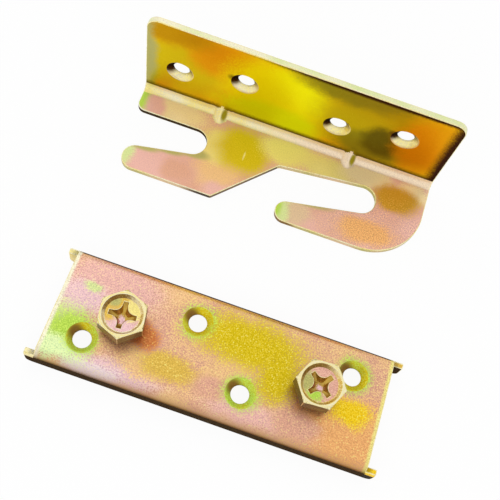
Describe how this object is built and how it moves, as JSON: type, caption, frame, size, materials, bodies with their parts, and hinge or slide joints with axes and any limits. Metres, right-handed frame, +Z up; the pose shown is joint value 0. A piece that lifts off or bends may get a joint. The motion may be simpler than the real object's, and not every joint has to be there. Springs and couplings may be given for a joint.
{
  "type": "bed rail fastener",
  "caption": "Bed rail fastener of folded, yellow-zinced steel: an angled hook plate whose open slots slip behind the heads of hex screws on a channel-shaped post plate.",
  "frame": {"origin": "middle of the box round both halves, on the floor that they lie on", "axes": "+X along both plates, away from the mouths of the hooks; +Y from the post plate to the hook plate; +Z up off the floor"},
  "size_m": [0.1068, 0.102, 0.038],
  "materials": {
    "plated_sheet": "sheet steel, zinc plated with iridescent yellow chromate in pink, gold and green",
    "plated_screw": "forged steel, zinc plated with iridescent yellow chromate"
  },
  "bodies": {
    "plates": {"post_plate": "plated_sheet", "hook_plate": "plated_sheet"},
    "screw_left": {"screw_left": "plated_screw"},
    "screw_right": {"screw_right": "plated_screw"}
  },
  "joints": [
    {"name": "screw_left_turn", "type": "hinge", "parent": "plates", "child": "screw_left", "pos_m": [-0.02925, -0.0335, 0.012], "axis": [0, 0, 1], "range_deg": [-1008, 1296]},
    {"name": "screw_right_turn", "type": "hinge", "parent": "plates", "child": "screw_right", "pos_m": [0.02995, -0.0335, 0.012], "axis": [0, 0, 1], "range_deg": [-1008, 1296]}
  ]
}
